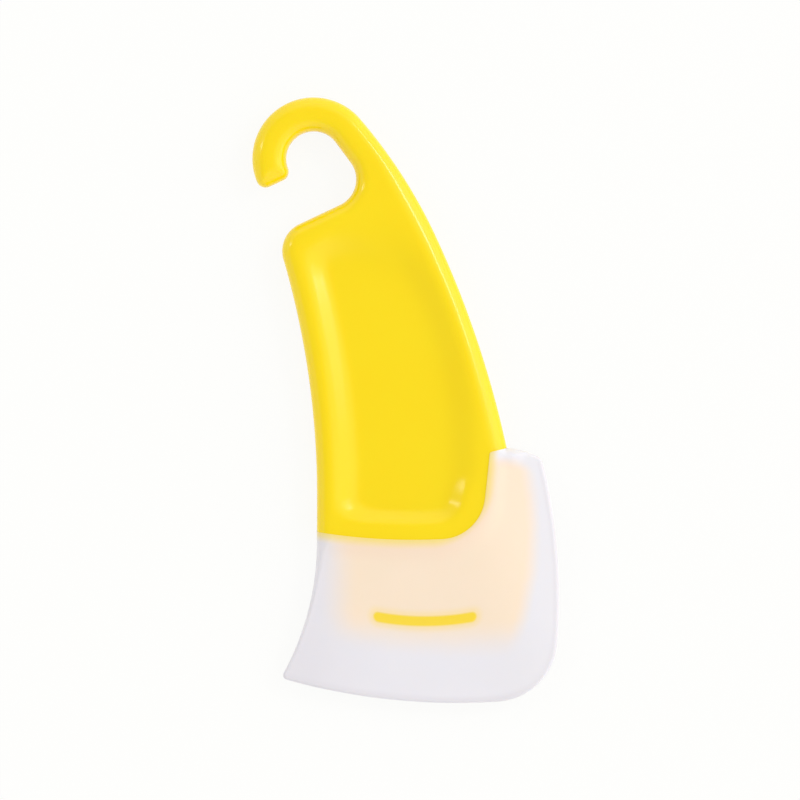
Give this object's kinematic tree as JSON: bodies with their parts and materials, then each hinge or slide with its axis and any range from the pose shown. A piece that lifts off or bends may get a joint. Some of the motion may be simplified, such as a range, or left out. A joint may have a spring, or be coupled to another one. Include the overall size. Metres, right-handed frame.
{
  "type": "bowl scraper",
  "caption": "Flat one-hand bowl scraper: glossy hard handle with a hanging hook and a dished grip, overmoulded with a soft milky blade that tapers to a thin curved lip.",
  "frame": {"origin": "under the middle of the outline, on the plane the scraper lies on", "axes": "+Z is the thickness, up off the table; +Y runs from the blade to the hook; +X is the blade's working side"},
  "size_m": [0.065, 0.1284, 0.008],
  "materials": {
    "handle": "glossy moulded yellow plastic",
    "blade": "milky translucent silicone, satin"
  },
  "bodies": {
    "root": {"handle": "handle", "blade": "blade"}
  },
  "joints": []
}
